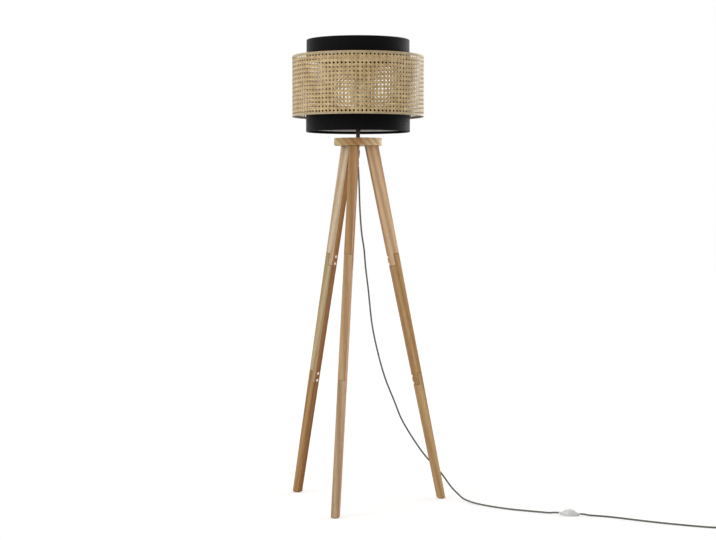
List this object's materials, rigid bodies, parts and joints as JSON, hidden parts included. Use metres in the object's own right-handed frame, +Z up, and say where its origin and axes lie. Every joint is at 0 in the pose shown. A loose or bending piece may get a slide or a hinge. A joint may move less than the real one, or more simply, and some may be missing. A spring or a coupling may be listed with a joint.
{
  "type": "tripod floor lamp",
  "caption": "Tripod floor lamp with half-lapped wooden legs under a round hub, a drum shade of black fabric bands inside an open cane webbing ring, and a cord with a foot switch.",
  "frame": {"origin": "on the floor, under the middle of the box that holds the lamp without its free cord; the lamp's own axis is 46 mm from it towards +Y", "axes": "+Z up along the lamp's axis, -Y towards the front leg, +X to the side where the cord runs off"},
  "size_m": [1.6159, 0.5445, 1.6],
  "materials": {
    "oak": "clear matt varnish over straight-grained wood",
    "steel": "bright zinc plate",
    "felt": "dark felt",
    "bronze": "dark bronze, satin",
    "black_plastic": "matt",
    "ceramic": "unglazed",
    "brass": "plain",
    "cord_cloth": "braided textile over the cord",
    "frosted_glass": "frosted inside, white",
    "white_wire": "white powder coat",
    "black_fabric": "plain fine weave",
    "white_lining": "satin white film",
    "cane": "natural cane, bare",
    "clear_plastic": "milky and translucent",
    "white_plastic": "moulded, smooth"
  },
  "bodies": {
    "lamp": {"leg_1_lower_section": "oak", "leg_1_middle_section": "oak", "leg_1_upper_section": "oak", "leg_1_lower_lap_bolt_1": "steel", "leg_1_lower_lap_bolt_2": "steel", "leg_1_upper_lap_bolt_1": "steel", "leg_1_upper_lap_bolt_2": "steel", "hub_screw_1": "steel", "foot_pad_1": "felt", "leg_2_lower_section": "oak", "leg_2_middle_section": "oak", "leg_2_upper_section": "oak", "leg_2_lower_lap_bolt_1": "steel", "leg_2_lower_lap_bolt_2": "steel", "leg_2_upper_lap_bolt_1": "steel", "leg_2_upper_lap_bolt_2": "steel", "hub_screw_2": "steel", "foot_pad_2": "felt", "leg_3_lower_section": "oak", "leg_3_middle_section": "oak", "leg_3_upper_section": "oak", "leg_3_lower_lap_bolt_1": "steel", "leg_3_lower_lap_bolt_2": "steel", "leg_3_upper_lap_bolt_1": "steel", "leg_3_upper_lap_bolt_2": "steel", "hub_screw_3": "steel", "foot_pad_3": "felt", "hub_disc": "oak", "threaded_rod": "steel", "stem_sleeve": "bronze", "hub_nut": "steel", "cord_grip": "black_plastic", "holder_cap": "black_plastic", "holder_shell": "black_plastic", "shade_ring_nut": "black_plastic", "contact_block": "ceramic", "centre_contact": "brass", "stem_lead": "cord_cloth", "bulb_cap": "steel", "bulb_glass": "frosted_glass", "shade_frame": "white_wire", "upper_band_fabric": "black_fabric", "upper_band_lining": "white_lining", "lower_band_fabric": "black_fabric", "lower_band_lining": "white_lining", "cane_webbing": "cane", "cane_top_binding": "cane", "cane_bottom_binding": "cane", "switch_base": "clear_plastic", "switch_cover": "clear_plastic", "switch_core": "white_plastic", "cord_drop": "cord_cloth", "cord_run": "cord_cloth", "cord_coil": "cord_cloth", "coil_tie": "felt", "plug_body": "white_plastic", "plug_pin_1": "brass", "plug_pin_2": "brass"},
    "foot_switch_button": {"switch_button": "white_plastic"}
  },
  "joints": [
    {"name": "button_press", "type": "slide", "parent": "lamp", "child": "foot_switch_button", "axis": [0, 0, -1], "range_m": [0, 0.003], "stiffness_N_per_m": 900}
  ]
}
